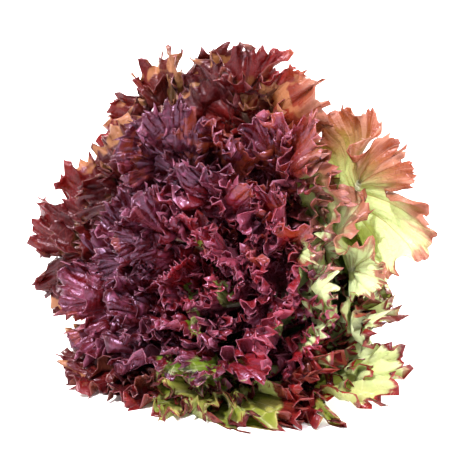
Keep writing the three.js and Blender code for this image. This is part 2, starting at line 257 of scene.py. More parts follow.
def shell_spread(shell, along, azimuth):
    """Millimetres between shells, square to them, for each unit of shell."""
    s = np.maximum(shell, 0.02)
    outer_radius, outer_height, angle = path_point(s + 0.01, along, azimuth)
    inner_radius, inner_height, _ = path_point(s - 0.01, along, azimuth)
    across = (outer_radius - inner_radius) * np.cos(angle)
    ahead = (outer_height - inner_height) * np.sin(angle)
    return np.abs(across - ahead) / 0.02


def shared_wave(shell, along, azimuth):
    share = along / path_length(np.maximum(shell, 0.001), azimuth)
    turn = 11 * shell
    wide = 0.6 * np.sin(13 * azimuth + turn + 6 * share)
    narrow = 0.4 * np.sin(21 * azimuth - 0.8 * turn + 9 * share + 2)
    return 0.052 * ramp(0.5, 1, share) * (wide + narrow) * np.minimum(1, shell / 0.3)


def settle(points, shell):
    """Bends the ideal head a little and lays its underside on the surface."""
    level = LEVEL_RISE * (1 - shell)
    bent = points.copy()
    for moved, along, size, length, phase in BENDS:
        bent[..., moved] += size * np.sin(points[..., along] / length + phase)
    pressed = FLOOR_SOFTNESS * np.logaddexp(0, (bent[..., 2] - level) / FLOOR_SOFTNESS)
    bent[..., 2] = level + pressed - FLOOR_SINK
    return bent


def around_axis(radius, height, azimuth):
    radius, height, azimuth = (np.asarray(v, float)[..., None] for v in (radius, height, azimuth))
    return BUTT + radius * (np.cos(azimuth) * UP + np.sin(azimuth) * BACK) + height * AXIS


def place(shell, along, azimuth):
    waved = shell + shared_wave(shell, along, azimuth)
    radius, height, _ = path_point(waved, along, azimuth)
    return settle(around_axis(radius, height, azimuth), shell)


def shell_at(order):
    if order <= 0:
        return 1 - 0.8 * order / LEAF_COUNT
    return max(0, 1 - order / LEAF_COUNT) ** 0.8


def leaf_traits(k):
    draw = Draw(7919 * (k + 1))
    for _ in range(3):
        draw.next()
    shell = shell_at(k + 0.5)
    step = (shell_at(k - 1.5) - shell_at(min(k + 2.5, LEAF_COUNT - 0.01))) / 4
    azimuth = k * GOLDEN_ANGLE + FIRST_AZIMUTH
    outer = k < OUTER_LEAVES
    return dict(
        shell=shell,
        slab=SLAB_SHARE * step * (WIDE_SLAB if outer else 1),
        half_angle=OUTER_HALF_ANGLE if k < OUTER_LEAVES + 2 else INNER_HALF_ANGLE,
        azimuth=azimuth + draw.between(-AZIMUTH_DRAW, AZIMUTH_DRAW),
        length=path_length(shell, azimuth) * draw.between(*LENGTH_DRAW),
        half_width=(HEART_HALF_WIDTH + OUTER_EXTRA_HALF_WIDTH * shell**0.8) * draw.between(*WIDTH_DRAW),
        ruffle=HEART_RUFFLE + OUTER_EXTRA_RUFFLE * shell,
        phase=draw.between(0, 2 * math.pi),
        second=draw.between(0, 2 * math.pi),
        third=draw.between(0, 2 * math.pi),
    )


def margin(leaf, c):
    """Half width and height of the flat leaf's margin, c from 0 at the tip to 1 at the root."""
    height = leaf["length"] * (1 + np.cos(math.pi * c)) / 2
    bulge = np.maximum(np.sin(math.pi * c**0.8), 0) ** 0.85
    half = leaf["half_width"] * bulge + ROOT_HALF_WIDTH * c**3 + 1e-6
    shell = np.full_like(height, leaf["shell"])
    radius = path_point(shell, height, np.full_like(height, leaf["azimuth"]))[0]
    most = leaf["half_angle"] * np.maximum(radius, LEAST_RADIUS)
    return (half**-4.0 + most**-4.0) ** -0.25, height


def ruffle_phase(leaf, waves, q):
    even = math.pi * waves * q + leaf["phase"]
    return even + 0.7 * np.sin(4.3 * q + leaf["third"]) + 0.5 * np.sin(9.1 * q + leaf["second"])


def value_noise(x, y, seed):
    """Smooth noise from -1 to 1 with a lattice of one unit."""
    table = np.random.RandomState(seed).uniform(-1, 1, (64, 64))
    left, low = np.floor(x).astype(int), np.floor(y).astype(int)
    u, v = x - left, y - low
    u, v = u * u * (3 - 2 * u), v * v * (3 - 2 * v)
    corner = lambda i, j: table[(left + i) % 64, (low + j) % 64]
    under = corner(0, 0) * (1 - u) + corner(1, 0) * u
    over = corner(0, 1) * (1 - u) + corner(1, 1) * u
    return under * (1 - v) + over * v


def flat_noise(flat, size, seed):
    return value_noise(flat[..., 0] / size, flat[..., 1] / size, seed)


def unit(vectors):
    return vectors / np.maximum(np.linalg.norm(vectors, axis=-1, keepdims=True), 1e-9)


def grid_frame(points):
    """Unit vectors along the margin and square to the sheet towards the heart, at each grid point."""
    down = np.gradient(points, axis=0)
    over = unit(np.gradient(points, axis=1))
    return over, unit(np.cross(down, over))


def leaf_grid(mesh, frill):
    """Rows from the midrib's centre to the margin, and columns along the margin from root to root."""
    t = np.linspace(0, 1, mesh["rings"])
    rings = 1 - (1 - t) ** 1.7
    u = np.linspace(-1, 1, mesh["columns"])
    if frill:
        a, b, q = FRILL_FROM + (1 - FRILL_FROM) * rings, np.ones(mesh["rings"]), FRILL_SIDES * u
    else:
        a = np.concatenate([np.zeros(len(RIB_ROWS)), rings])
        b = np.concatenate([RIB_ROWS, np.ones(mesh["rings"])])
        share = np.interp(np.abs(u), (0, ROOT_COLUMNS["from"], 1), (0, ROOT_COLUMNS["margin_from"], 1))
        q = np.sign(u) * share
    return np.meshgrid(a, q, indexing="ij") + [np.repeat(b[:, None], len(q), 1)]


def frill_traits(leaf, frill):
    """A smaller leaf on the upper face of a leaf, of which only the margin is made."""
    return dict(
        leaf,
        half_angle=leaf["half_angle"] * frill["wide"],
        azimuth=leaf["azimuth"] + frill["turn"],
        length=leaf["length"] * frill["long"],
        half_width=leaf["half_width"] * frill["wide"],
        phase=leaf["third"] + 40 * frill["turn"],
        second=leaf["phase"],
        third=leaf["second"] + 70 * frill["turn"],
    )


def from_heart(sizes, shell):
    return sizes["heart"] + (sizes["outer"] - sizes["heart"]) * ramp(0.2, 0.95, shell)


def calm(leaf):
    """How much less ruffled the outer leaves of the pale side are, from 0 to 1."""
    return ramp(0.55, 0.9, math.cos(leaf["azimuth"] - CALM_AZIMUTH)) * ramp(0.68, 0.74, leaf["shell"])


def leaf_form(k, mesh, frill=None):
    """Middle surface of a ruffled leaf, or of a frill on it, and what goes with each point of it."""
    leaf = leaf_traits(k)
    if frill:
        leaf = frill_traits(leaf, frill)
    a, q, b = leaf_grid(mesh, frill)
    cs = np.linspace(0, 1, MARGIN_STEPS) ** 1.5
    half, height = margin(leaf, cs)
    run = np.concatenate([[0], np.cumsum(np.hypot(np.diff(half), np.diff(height)))])
    total = run[-1]
    waves = max(LEAST_WAVES, math.floor(2 * total / leaf["ruffle"] + 0.5))
    wavelength = 2 * total / waves
    c = np.interp(np.abs(q), run / total, cs)
    half, height = margin(leaf, c)
    foot = height * (VEIN_START + VEIN_START_RISE * (1 - c))
    rise = height - foot
    span = np.hypot(half, rise) + 1e-6
    up_leaf = 1 - height / leaf["length"]
    rib_width = RIB_HALF_WIDTH + RIB_EXTRA_HALF_WIDTH * up_leaf
    phase = ruffle_phase(leaf, waves, q)
    paces = [wave["pace"] * from_heart(MORE_WAVES, leaf["shell"]) for wave in SWINGS]
    awake = ramp(*RUFFLES_ALONG, height / leaf["length"])
    from_rim = (1 - a) * span
    near = lambda reach: np.maximum(0, 1 - from_rim / np.minimum(reach * wavelength, 0.8 * span)) * awake
    # Teeth stand on the crests and troughs of the waves along the margin
    turned = [
        pace * phase + n * leaf["phase"] + 0.6 * np.sin(0.6 * pace * phase + leaf["second"])
        for n, pace in enumerate(paces)
    ]
    crests = [1 - np.abs(np.cos(wave)) ** 0.6 for wave in turned]
    tooth = sum(from_heart(share, leaf["shell"]) * crest for share, crest in zip(TEETH, crests))
    uneven = 1 + TOOTH_UNEVEN * value_noise(phase / math.pi, 0 * phase, 11 + k)
    tooth = tooth * uneven / (1 + (tooth * uneven / MOST_TOOTH) ** 4) ** 0.25
    tooth_length = TOOTH_LENGTHENING * (HEART_TOOTH + OUTER_EXTRA_TOOTH * leaf["shell"])
    teeth = tooth_length * tooth * near(TOOTH_REACH) ** 1.5
    lobe = np.maximum(0, np.sin(LOBE_PACE * phase + leaf["second"])) ** 5 * LOBE_DEPTH * leaf["shell"] * awake
    reach = a + (teeth - lobe * a**2) / span
    across = np.sign(q) * (rib_width * np.where(b < 1, b, 1 - a) + half * reach)
    along = foot + rise * reach
    flat = np.stack([across, along], -1)
    slow = LONG_WAVE["depth"] * np.sin(LONG_WAVE["pace"] * phase + 2 * leaf["third"])
    slow = slow * near(LONG_WAVE["reach"]) ** 1.2
    azimuth = np.full_like(along, leaf["azimuth"])
    spread = shell_spread(leaf["shell"], along, azimuth)
    room = np.maximum(0, leaf["slab"] - BLADE_ROOM / spread)
    radius = np.maximum(path_point(np.full_like(along, leaf["shell"]), along, azimuth)[0], LEAST_RADIUS)
    # Broad dents bend the whole blade between its midrib and its margin
    dents = flat_noise(flat, DENT_SIZES[0], 83 + k) + 0.5 * flat_noise(flat, DENT_SIZES[1], 91 + k)
    dents = dents * DENT_DEPTH * ramp(2, 24, half * a) * ramp(0.2, 0.5, height / leaf["length"])
    smooth = place(leaf["shell"] + room * (dents + slow), along, azimuth + across / radius)
    if frill:
        lift = frill["lift"] * (0.4 + 0.6 * leaf["shell"]) * ramp(FRILL_FROM, 0.85, a)
        lift = lift - FRILL_SUNK * ramp(0.75, FRILL_FROM, a)
        smooth = smooth + grid_frame(smooth)[1] * lift[..., None]
    bend = FOLD_BEND["angle"] * flat_noise(flat, FOLD_BEND["patch"], 19 + k) * (1 - a**6)
    swing = 0
    for n, wave in enumerate(SWINGS):
        uneven = 1 + SWING_UNEVEN * value_noise(phase / 2.2, 0 * phase + 0.4, 31 + k + 40 * n)
        strength = (1 - CALMER * calm(leaf)) * from_heart(wave, leaf["shell"]) * uneven
        dying = np.exp(-from_rim / (wave["reach"] * wavelength))
        swing = swing + strength * np.cos(turned[n] + bend) * dying * awake
    swing = swing / (1 + (swing / MOST_SWING) ** 6) ** (1 / 6)
    ruffled = smooth + meander(smooth, swing, waves, from_heart(MOST_ASIDE, leaf["shell"]))
    # The rim curls over here and there
    _, normal = grid_frame(ruffled)
    curled = value_noise(2 * phase / math.pi, 0 * phase + 0.5, 53 + k) * CURL["depth"]
    curled = curled * np.maximum(0, 1 - from_rim / CURL["reach"]) ** 2 * awake
    ruffled = ruffled + normal * curled[..., None]
    veins = max(LEAST_VEINS, round(total / VEIN_SPACING))
    vein_place = veins * q + 0.3 * np.sin(9 * q + leaf["second"]) + 0.12 * a * np.sin(5 * phase)
    return dict(
        leaf=leaf, ruffled=ruffled, a=a, b=b, flat=flat, share=height / leaf["length"], vein_place=vein_place,
        rib_width=rib_width, span=span, from_rim=from_rim, up_leaf=up_leaf, frill=frill,
    )


def running_mean(grid, columns):
    """Mean of each row over a number of columns about each place, taken twice so that it is smooth."""
    side = columns // 2
    width = 2 * side + 1
    for _ in range(2):
        padded = np.pad(grid, ((0, 0), (side + 1, side)), mode="edge")
        total = np.cumsum(padded, axis=1)
        grid = (total[:, width:] - total[:, :-width]) / width
    return grid


def meander(smooth, swing, waves, most):
    """Steps of a sheet whose direction swings along the margin, about its smooth place on the whole."""
    over, normal = grid_frame(smooth)
    step = np.linalg.norm(np.gradient(smooth, axis=1), axis=-1)
    columns = max(5, round(smooth.shape[1] / waves))
    grown = 1 / np.maximum(running_mean(np.cos(swing), columns), LEAST_AHEAD)
    ahead = np.cumsum((grown * np.cos(swing) - 1) * step, axis=1)
    aside = np.cumsum(grown * np.sin(swing) * step, axis=1)
    ahead = ahead - running_mean(ahead, columns)
    aside = aside - running_mean(aside, columns)
    held = 1 / (1 + (np.hypot(ahead, aside) / most) ** 4) ** 0.25
    return over * (held * ahead)[..., None] + normal * (held * aside)[..., None]


def relief(fine, k):
    """Adds quilting and blisters, and works out where the side veins run."""
    leaf, a, flat, points = fine["leaf"], fine["a"], fine["flat"], fine["ruffled"]
    blister = flat_noise(flat, BLISTER_SIZES[0], 41 + k) + 0.5 * flat_noise(flat, BLISTER_SIZES[1], 71 + k)
    blister = blister * BLISTER_DEPTH * np.minimum(1, 3 * a) * (1 - 0.6 * a**3)
    quilt = np.cos(2 * math.pi * fine["vein_place"]) * QUILT_DEPTH * np.minimum(1, 4 * a) * (1 - a**2)
    _, normal = grid_frame(points)
    fine["points"] = points + normal * (blister - quilt)[..., None]
    # Side veins run from the midrib to the margin, thinner as they go
    vein_place = fine["vein_place"]
    stretch = np.linalg.norm(np.gradient(flat, axis=1), axis=-1) / np.abs(np.gradient(vein_place, axis=1))
    from_vein = np.abs(vein_place - np.round(vein_place)) * stretch
    vein_width = VEIN_HALF_WIDTH * (1 - 0.75 * a) * (0.5 + 0.5 * leaf["shell"])
    fine["vein"] = np.exp(-((from_vein / vein_width) ** 2)) * (1 - 0.7 * a)
    fine["stretch"] = stretch
    fine["from_rib"] = np.hypot(fine["rib_width"] * fine["b"], a * fine["span"])
    return fine


def weld_index(rows, columns, frill):
    """Vertex number of each grid place: the rib's centre row is shared by the leaf's two halves."""
    index = np.arange(rows * columns).reshape(rows, columns)
    if not frill:
        index[0] = np.minimum(index[0], index[0, ::-1])
    used, numbers = np.unique(index, return_inverse=True)
    return numbers.reshape(rows, columns), used


def leaf_solid(form):
    """Vertices and quads of the closed blade, which is thick at the rib and veins on its outer face."""
    leaf, points, a = form["leaf"], form["points"], form["a"]
    _, normal = grid_frame(points)
    if not form["frill"]:
        normal[0] = unit(normal[0] + normal[0, ::-1])
        points[0] = (points[0] + points[0, ::-1]) / 2
    girth = 0.35 + 0.65 * leaf["shell"]
    rib = RIB_DEPTH * girth * form["up_leaf"] ** 0.9 * np.exp(-((form["from_rib"] / RIB_REACH) ** 2))
    vein = VEIN_DEPTH * girth * form["vein"]
    half = BLADE_HALF_THICKNESS * (1 - 0.35 * a**4)
    inner = points + normal * (half - 0.3 * vein)[..., None]
    outer = points - normal * (half + rib + vein)[..., None]
    for side in inner, outer:
        for axis, sign, start in SQUEEZED_BEYOND:
            side[..., axis] -= sign * SQUEEZE * np.maximum(0, sign * side[..., axis] - start)
    lift = np.maximum(0, FLOOR_GAP - np.minimum(inner[..., 2], outer[..., 2]))
    inner[..., 2] += lift
    outer[..., 2] += lift
    index, used = weld_index(*a.shape, form["frill"])
    count = len(used)
    vertices = np.concatenate([inner.reshape(-1, 3)[used], outer.reshape(-1, 3)[used]])
    quads = np.stack([index[:-1, :-1], index[1:, :-1], index[1:, 1:], index[:-1, 1:]], -1).reshape(-1, 4)
    loop = np.concatenate([index[:, 0], index[-1, 1:], index[-2::-1, -1]])
    if form["frill"]:
        loop = np.concatenate([loop, index[0, -2::-1]])
    wall = np.stack([loop[1:], loop[:-1], loop[:-1] + count, loop[1:] + count], -1)
    faces = np.concatenate([quads, quads[:, ::-1] + count, wall])
    return vertices, faces, used


def mesh_object(name, vertices, faces, material):
    mesh = bpy.data.meshes.new(name)
    mesh.vertices.add(len(vertices))
    mesh.vertices.foreach_set("co", (vertices * MM).ravel())
    mesh.loops.add(faces.size)
    mesh.loops.foreach_set("vertex_index", faces.ravel())
    mesh.polygons.add(len(faces))
    mesh.polygons.foreach_set("loop_start", np.arange(0, faces.size, faces.shape[1]))
    mesh.update(calc_edges=True)
    mesh.polygons.foreach_set("use_smooth", np.ones(len(faces), bool))
    mesh.materials.append(material)
    made = bpy.data.objects.new(name, mesh)
    bpy.context.scene.collection.objects.link(made)
    return made


def write_vectors(mesh, name, values):
    layer = mesh.attributes.new(name, "FLOAT_VECTOR", "POINT")
    layer.data.foreach_set("vector", np.asarray(values, np.float32).ravel())


def leaf_object(k, part, form, material):
    vertices, faces, used = leaf_solid(form)
    name = f"leaf_{k + 1:02d}"
    made = mesh_object(f"{name}_{part}", vertices, faces, material)

    def spread(*fields):
        columns = [np.broadcast_to(field, form["a"].shape).ravel()[used] for field in fields]
        return np.tile(np.stack(columns, -1), (2, 1))

    write_vectors(made.data, "vein_place", spread(form["vein_place"], form["a"], form["stretch"]))
    write_vectors(made.data, "flat_place", spread(form["flat"][..., 0], form["flat"][..., 1], 17.0 * k))
    write_vectors(made.data, "leaf_edge", spread(form["from_rim"], form["from_rib"], form["share"]))
    tone, pale_and_lit, blush = leaf_tone_and_shade(k, form["points"])
    write_vectors(made.data, "leaf_tone_and_shade", spread(*tone))
    side = spread(pale_and_lit, pale_and_lit, blush)
    side[:, 0] = np.repeat([1.0, 0.0], len(used))
    write_vectors(made.data, "leaf_side", side)
    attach(made, "root")
    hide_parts(name)


HEART_CENTRE = (28, 87)
BEYOND_HEART = (48, 95)
# Places where green shows between the frills, and a spot of painted backlit glow: middle across and up,
# half width and half height
GREEN_HOLLOWS = ((10, 76, 9, 18), (-8, 106, 5, 7), (-14, 60, 7, 14), (46, 60, 6, 10))
BACKLIT_SPOT = (-118, 28, 20, 16)
# Where the colours, the painted shade and the painted light of the pale side come and go across (x) and up
# (z), each from none to full
GREEN_SIDE = dict(x=(43, 68), low_z=(50, 20), low_shift=14, uneven=10, patch=24, redder_z=(90, 170))
GREEN_FOOT = dict(z=(48, 24), left=(-55, -25), right=(62, 32))
PALE_LIT_SIDE = dict(x=(32, 74), high=(190, 120), low=(5, 60))
BLUSH_SIDE = dict(x=(50, 90), z=(55, 125))
WARM_ABOVE = (105, 80)
WARM_HEART = dict(x=(25, 55), z=(60, 90))
SHADED_SIDE = dict(x=(40, -10), outer=0.45, heart=0.85)
SHADED_FOOT = dict(x=(60, 30), z=(85, 55))
SHADED_CREST = dict(x=(90, 50), z=(130, 158))
WARM_PATCH = 38
DARK_PATCH = 30


def spot(x, z, middle_x, middle_z, wide, tall, slant=0.0):
    """One inside a flat-topped oval spot and none outside it."""
    across = x - middle_x + slant * (z - middle_z)
    return np.exp(-((across / wide) ** 4) - ((z - middle_z) / tall) ** 4)


def leaf_tone_and_shade(k, points):
    """How red, warm and dark a leaf is at each point, how pale its green is and how blushed its red is. The
    dark is partly painted shade, the pale is partly painted light, and the warm holds a spot of painted
    backlit glow.
    """
    x, z = points[..., 0], points[..., 2]
    uneven = GREEN_SIDE["uneven"] * value_noise(x / GREEN_SIDE["patch"], z / GREEN_SIDE["patch"], 33)
    green_side = ramp(*GREEN_SIDE["x"], x - GREEN_SIDE["low_shift"] * ramp(*GREEN_SIDE["low_z"], z) + uneven)
    green_foot = ramp(*GREEN_FOOT["z"], z) * ramp(*GREEN_FOOT["left"], x) * ramp(*GREEN_FOOT["right"], x)
    red = 1 - 0.93 * green_side - 0.25 * ramp(45, 0, z)
    red = red + 0.3 * green_side * ramp(*GREEN_SIDE["redder_z"], z) - 1.3 * green_foot
    for hollow in GREEN_HOLLOWS:
        red = red - 1.2 * spot(x, z, *hollow, slant=0.4)
    outward = ramp(*BEYOND_HEART, np.hypot(x - HEART_CENTRE[0], z - HEART_CENTRE[1]))
    # Painted backlit glow: a tan spot where light shines through the leaves
    backlit_spot = spot(x, z, *BACKLIT_SPOT)
    warm = value_noise(x / WARM_PATCH, z / WARM_PATCH, 5 + k) * 0.5 + 0.5 + 0.1 * outward
    warm = warm - ramp(*WARM_ABOVE, z) * (1 - backlit_spot) + 0.8 * backlit_spot
    warm = warm + 0.25 * ramp(*WARM_HEART["x"], x) * ramp(*WARM_HEART["z"], z)
    # Painted shade: darker left of and outside the heart, low down before it, and at the heart's upper crest
    shaded_leftward = outward * ramp(*SHADED_SIDE["x"], x)
    foot = ramp(*SHADED_FOOT["z"], z) * ramp(*SHADED_FOOT["x"], x)
    side_shade = SHADED_SIDE["outer" if k < OUTER_LEAVES else "heart"]
    dark_tone_and_shade = value_noise(x / DARK_PATCH + 9, z / DARK_PATCH, 25 + k) * 0.4 + 0.42 + side_shade * shaded_leftward
    dark_tone_and_shade = dark_tone_and_shade + 0.3 * foot * (1 - shaded_leftward)
    if k >= OUTER_LEAVES:
        dark_tone_and_shade = dark_tone_and_shade + 0.25 * ramp(*SHADED_CREST["z"], z) * ramp(*SHADED_CREST["x"], x)
    # Pale green of the lower right, made paler still as painted light where that side is overlit
    pale_and_lit = ramp(*PALE_LIT_SIDE["x"], x) * ramp(*PALE_LIT_SIDE["high"], z) * ramp(*PALE_LIT_SIDE["low"], z)
    blush = ramp(*BLUSH_SIDE["x"], x) * ramp(*BLUSH_SIDE["z"], z)
    return (np.clip(red, 0, 1), warm, dark_tone_and_shade), pale_and_lit, blush


def display(red, green, blue):
    """Linear colour of a display colour given from 0 to 255."""
    return (*(((value / 255 + 0.055) / 1.055) ** 2.4 for value in (red, green, blue)), 1)


class Shader:
    """A material and short names for the nodes that it is made of."""

    def __init__(self, name):
        self.material = bpy.data.materials.new(name)
        self.material.use_nodes = True
        self.tree = self.material.node_tree
        self.tree.nodes.clear()

    def fill(self, socket, value):
        if isinstance(value, bpy.types.NodeSocket):
            self.tree.links.new(value, socket)
        else:
            socket.default_value = value

    def node(self, kind, inputs, **settings):
        made = self.tree.nodes.new("ShaderNode" + kind)
        for name, value in settings.items():
            setattr(made, name, value)
        for name, value in inputs.items():
            self.fill(made.inputs[name], value)
        return made

    def attribute(self, name):
        return self.node("Attribute", {}, attribute_name=name).outputs["Vector"]

    def parts(self, vector):
        return self.node("SeparateXYZ", {"Vector": vector}).outputs[:]

    def math(self, operation, first, second):
        return self.node("Math", {0: first, 1: second}, operation=operation).outputs[0]

    def smooth(self, value, low, high, start=0.0, end=1.0):
        ranges = {"Value": value, "From Min": low, "From Max": high, "To Min": start, "To Max": end}
        return self.node("MapRange", ranges, interpolation_type="SMOOTHSTEP").outputs["Result"]

    def mix(self, share, first, second):
        return self.node("Mix", {0: share, 6: first, 7: second}, data_type="RGBA").outputs[2]

    def noise(self, place, size, detail=3.0, roughness=0.55):
        settings = {"Vector": place, "Scale": 1 / size, "Detail": detail, "Roughness": roughness}
        return self.node("TexNoise", settings).outputs[0]

    def cells(self, place, size):
        settings = {"Vector": place, "Scale": 1 / size}
        return self.node("TexVoronoi", settings, feature="DISTANCE_TO_EDGE").outputs["Distance"]

    def output(self, surface):
        self.node("OutputMaterial", {"Surface": surface})
        return self.material


def leaf_material(name, look):
    """Blade of a leaf: red over green on its upper face, paler below, with veins and a pale rim; its colour
    also holds painted shade, painted backlit glow, painted violet sheen and a painted rim highlight.
    """
    s = Shader(name)
    place = s.attribute("flat_place")
    from_rim, from_rib, share = s.parts(s.attribute("leaf_edge"))
    red, warm, dark_tone_and_shade = s.parts(s.attribute("leaf_tone_and_shade"))
    vein_at, out, stretch = s.parts(s.attribute("vein_place"))
    upper, pale_and_lit, blush = s.parts(s.attribute("leaf_side"))
    clouds = s.noise(place, 16)
    mottle = s.noise(place, 5, 4.0, 0.65)
    # Streaks run with the side veins from the midrib to the margin
    along = {0: s.attribute("vein_place"), 1: look["streaks"]}
    streak = s.noise(s.node("VectorMath", along, operation="MULTIPLY").outputs[0], 1.0, 4.0, 0.6)
    # How far the red reaches from the margin into the green
    mottled = s.smooth(pale_and_lit, 0.0, 0.5, look["red_uneven"], 3.0)
    uneven = s.math("MULTIPLY", s.math("SUBTRACT", mottle, 0.5), mottled)
    streaked = s.math("MULTIPLY", s.math("SUBTRACT", streak, 0.5), s.smooth(blush, 0.0, 0.6, 8.0, 62.0))
    from_red = s.math("ADD", from_rim, s.math("ADD", uneven, streaked))
    least = s.smooth(pale_and_lit, 0.0, 0.8, look["red_least"], 1.0)
    reach = s.smooth(red, 0.0, 1.0, least, look["red_most"])
    full_to = s.smooth(blush, 0.0, 0.6, 0.45, -0.1)
    gone_from = s.smooth(blush, 0.0, 0.6, 1.25, 1.6)
    cover = s.math("SUBTRACT", 1.0, s.smooth(s.math("DIVIDE", from_red, reach), full_to, gone_from))
    opened = s.math("MULTIPLY", s.smooth(s.noise(place, 30, 2.0), 0.56, 0.64), look["green_patches"])
    opened = s.math("MULTIPLY", opened, s.smooth(from_rim, 5.0, 20.0))
    cover = s.math("MULTIPLY", cover, s.math("SUBTRACT", 1.0, opened))
    rooted = s.smooth(s.math("ADD", share, s.math("MULTIPLY", mottle, 0.2)), *look["red_along"])
    cover = s.math("MULTIPLY", cover, rooted)
    cover = s.math("MULTIPLY", cover, s.smooth(upper, 0.0, 1.0, look["red_below"], 1.0))
    # Veins: one fine line for each side vein, a net between them, and the pale midrib
    vein_width = s.smooth(out, 0.0, 1.0, 1.1, 0.3)
    from_vein = s.math("MULTIPLY", s.math("PINGPONG", vein_at, 0.5), stretch)
    vein = s.math("SUBTRACT", 1.0, s.smooth(s.math("DIVIDE", from_vein, vein_width), 0.25, 1.0))
    net = s.math("SUBTRACT", 1.0, s.smooth(s.cells(place, 5.5), 0.0, 0.075))
    veins = s.math("MAXIMUM", s.math("MULTIPLY", vein, 0.75), s.math("MULTIPLY", net, 0.3))
    rib = s.math("SUBTRACT", 1.0, s.smooth(from_rib, 1.2, 4.0))
    fine = s.noise(place, 1.8, 3.0, 0.6)
    uneven_red = s.math("ADD", s.math("MULTIPLY", clouds, 0.4), s.math("MULTIPLY", fine, 0.3))
    uneven_red = s.math("ADD", uneven_red, s.math("MULTIPLY", streak, 0.3))
    red_color = s.mix(s.smooth(uneven_red, 0.38, 0.62), look["red_deep"], look["red_bright"])
    warmed = s.math("MULTIPLY", s.smooth(warm, 0.5, 0.9), look["warmth"])
    red_color = s.mix(warmed, red_color, look["red_warm"])
    # Darker in tone here and there, and painted shade where the head lies in shade
    darkened_and_shaded = s.math("MULTIPLY", s.smooth(dark_tone_and_shade, 0.4, 0.9), look["darkness_and_shade"])
    red_color = s.mix(darkened_and_shaded, red_color, look["red_dark_and_shaded"])
    red_color = s.mix(s.math("MULTIPLY", s.smooth(dark_tone_and_shade, 0.95, 1.25), 0.8), red_color, look["red_deepest_shade"])
    # Mottled violet: partly the leaf's own tint and paler underside, partly painted violet sheen
    violet_and_sheen = s.math("MULTIPLY", s.smooth(mottle, 0.5, 0.75), look["violet_sheen_share"])
    red_color = s.mix(violet_and_sheen, red_color, look["red_violet_and_sheen"])
    green_color = s.mix(s.smooth(clouds, 0.3, 0.7), look["green_deep"], look["green_pale"])
    green_color = s.mix(s.smooth(upper, 0.0, 1.0, 0.55, 0.0), green_color, look["green_below"])
    red_color = s.mix(s.smooth(upper, 0.0, 1.0, look["paler_below"], 0.0), red_color, look["red_violet_and_sheen"])
    browned = s.smooth(streak, 0.37, 0.57)
    blushed = s.mix(browned, look["red_blush"], look["blush_brown"])
    red_color = s.mix(s.math("MULTIPLY", s.smooth(blush, 0.0, 0.7), 0.85), red_color, blushed)
    # Tan and orange patches where the leaf is warm: painted backlit glow
    patches = s.math("ADD", s.noise(place, 18, 2.0), s.math("MULTIPLY", warm, 0.2))
    patches = s.smooth(patches, 0.67, 0.73)
    patches = s.math("MULTIPLY", patches, s.smooth(blush, 0.0, 0.5, look["backlit_patchiness"], 0.0))
    patches = s.math("MULTIPLY", patches, s.smooth(upper, 0.0, 1.0, 0.35, 1.0))
    red_color = s.mix(s.math("MULTIPLY", patches, 0.85), red_color, look["red_backlit_patch"])
    red_color = s.mix(s.math("MULTIPLY", veins, 0.5), red_color, look["red_vein"])
    lightest_and_lit = s.math("MULTIPLY", pale_and_lit, s.smooth(upper, 0.0, 1.0, 0.3, 0.9))
    green_color = s.mix(lightest_and_lit, green_color, look["green_lightest_lit"])
    vein_color = s.mix(s.smooth(blush, 0.1, 0.6), look["green_vein"], look["vein_blush"])
    green_color = s.mix(s.math("MULTIPLY", veins, 0.7), green_color, vein_color)
    blade = s.mix(cover, green_color, red_color)
    ribbed = s.math("MULTIPLY", rib, s.smooth(cover, 0.0, 1.0, 0.95, 0.2))
    blade = s.mix(ribbed, blade, look["rib"])
    # The thin rim is lighter here and there: a pale rim, partly painted highlight
    rim_and_highlight = s.math("SUBTRACT", 1.0, s.smooth(from_rim, 0.05, 0.4))
    rim_and_highlight = s.math("MULTIPLY", rim_and_highlight, s.smooth(mottle, 0.4, 0.6))
    rim_and_highlight_color = s.mix(s.smooth(red, 0.2, 0.6), look["rim_green"], look["rim_and_highlight"])
    blade = s.mix(s.math("MULTIPLY", rim_and_highlight, look["rim_share"]), blade, rim_and_highlight_color)
    # Light that shines through: red where the leaf is red, tan in its patches, dimmed by the painted shade
    shade_dimmed = s.math("MULTIPLY", s.smooth(dark_tone_and_shade, 0.4, 0.9), 0.75)
    through_red = s.mix(shade_dimmed, look["through_red"], look["through_shaded"])
    through_red = s.mix(patches, through_red, look["through_warm"])
    blush_light = s.mix(browned, look["through_blush"], look["through_brown"])
    through_red = s.mix(blush, through_red, blush_light)
    through = s.mix(cover, look["through_green"], through_red)
    height = s.math("ADD", s.math("MULTIPLY", clouds, 0.5), s.math("MULTIPLY", mottle, 0.35))
    height = s.math("ADD", height, s.math("MULTIPLY", fine, 0.35))
    height = s.math("SUBTRACT", height, s.math("MULTIPLY", veins, 0.45))
    bump = s.node("Bump", {"Height": height, "Strength": look["bump"], "Distance": 0.0012}).outputs[0]
    surface = {
        "Base Color": blade, "Roughness": s.smooth(mottle, 0.3, 0.7, look["gloss"], look["gloss"] + 0.14),
        "Specular IOR Level": look["shine"], "Specular Tint": look["sheen"], "Normal": bump,
        "Sheen Weight": 0.06, "Sheen Roughness": 0.4, "Sheen Tint": look["bloom"],
    }
    skin = s.node("BsdfPrincipled", surface).outputs[0]
    glow = s.node("BsdfTranslucent", {"Color": through, "Normal": bump}).outputs[0]
    thin = s.math("MULTIPLY", look["thin"], s.math("SUBTRACT", 1.0, s.math("MULTIPLY", rib, 0.6)))
    return s.output(s.node("MixShader", {0: thin, 1: skin, 2: glow}).outputs[0])


